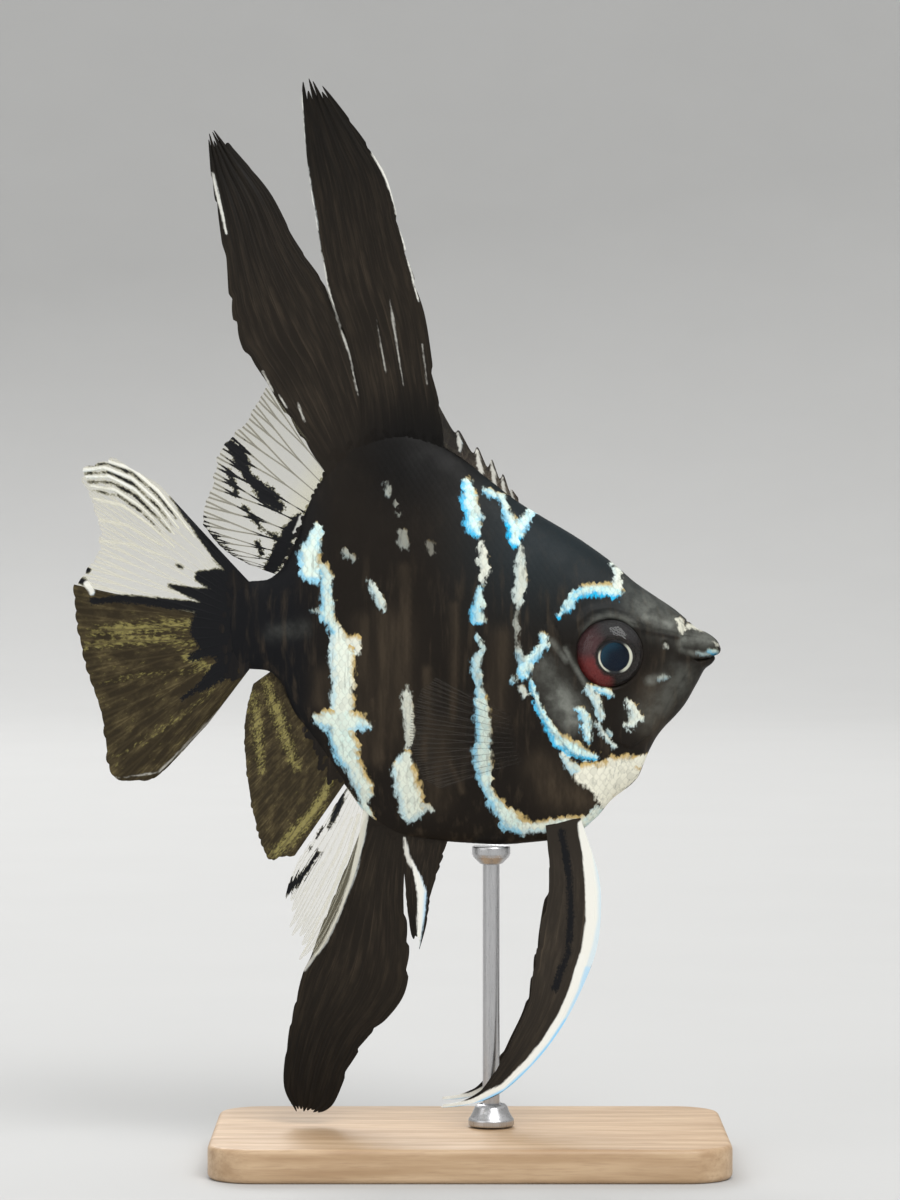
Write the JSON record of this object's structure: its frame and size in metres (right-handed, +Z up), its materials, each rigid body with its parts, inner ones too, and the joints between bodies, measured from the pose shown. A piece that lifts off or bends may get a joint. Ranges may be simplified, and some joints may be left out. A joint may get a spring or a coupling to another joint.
{
  "type": "freshwater angelfish display model",
  "caption": "Life-size marbled freshwater angelfish with tall dorsal and anal fins, held still on a rod above a flat display base.",
  "frame": {"origin": "centre of the underside of the display base, under the rod's side of the fish", "axes": "+X towards the fish's snout, +Y towards its left side, +Z up towards the tip of the dorsal fin"},
  "size_m": [0.0969, 0.048, 0.1603],
  "materials": {
    "body_skin": "satin",
    "head_skin": "satin",
    "fin_black": "satin",
    "fin_clear": "satin",
    "fin_white": "satin",
    "fin_smoke": "satin",
    "eye": "gloss",
    "stand_wood": "satin",
    "stand_steel": "satin"
  },
  "bodies": {
    "root": {"head": "head_skin", "lower_jaw": "head_skin", "gill_cover_right": "head_skin", "gill_cover_left": "head_skin", "trunk": "body_skin", "tail_peduncle": "body_skin", "eye_right": "eye", "eye_left": "eye", "dorsal_fin_spines": "fin_white", "dorsal_fin_front_lobe": "fin_black", "dorsal_fin_rear_lobe": "fin_black", "dorsal_fin_soft_rays": "fin_clear", "anal_fin_spines": "fin_white", "anal_fin_long_lobe": "fin_black", "anal_fin_clear_rays": "fin_clear", "anal_fin_rear_lobe": "fin_black", "caudal_fin_upper": "fin_clear", "caudal_fin_lower": "fin_smoke", "pelvic_fin_right": "fin_white", "pelvic_fin_left": "fin_white", "pectoral_fin_right": "fin_clear", "pectoral_fin_left": "fin_clear", "stand_base": "stand_wood", "stand_rod": "stand_steel", "stand_socket": "stand_steel", "stand_saddle": "stand_steel"}
  },
  "joints": []
}
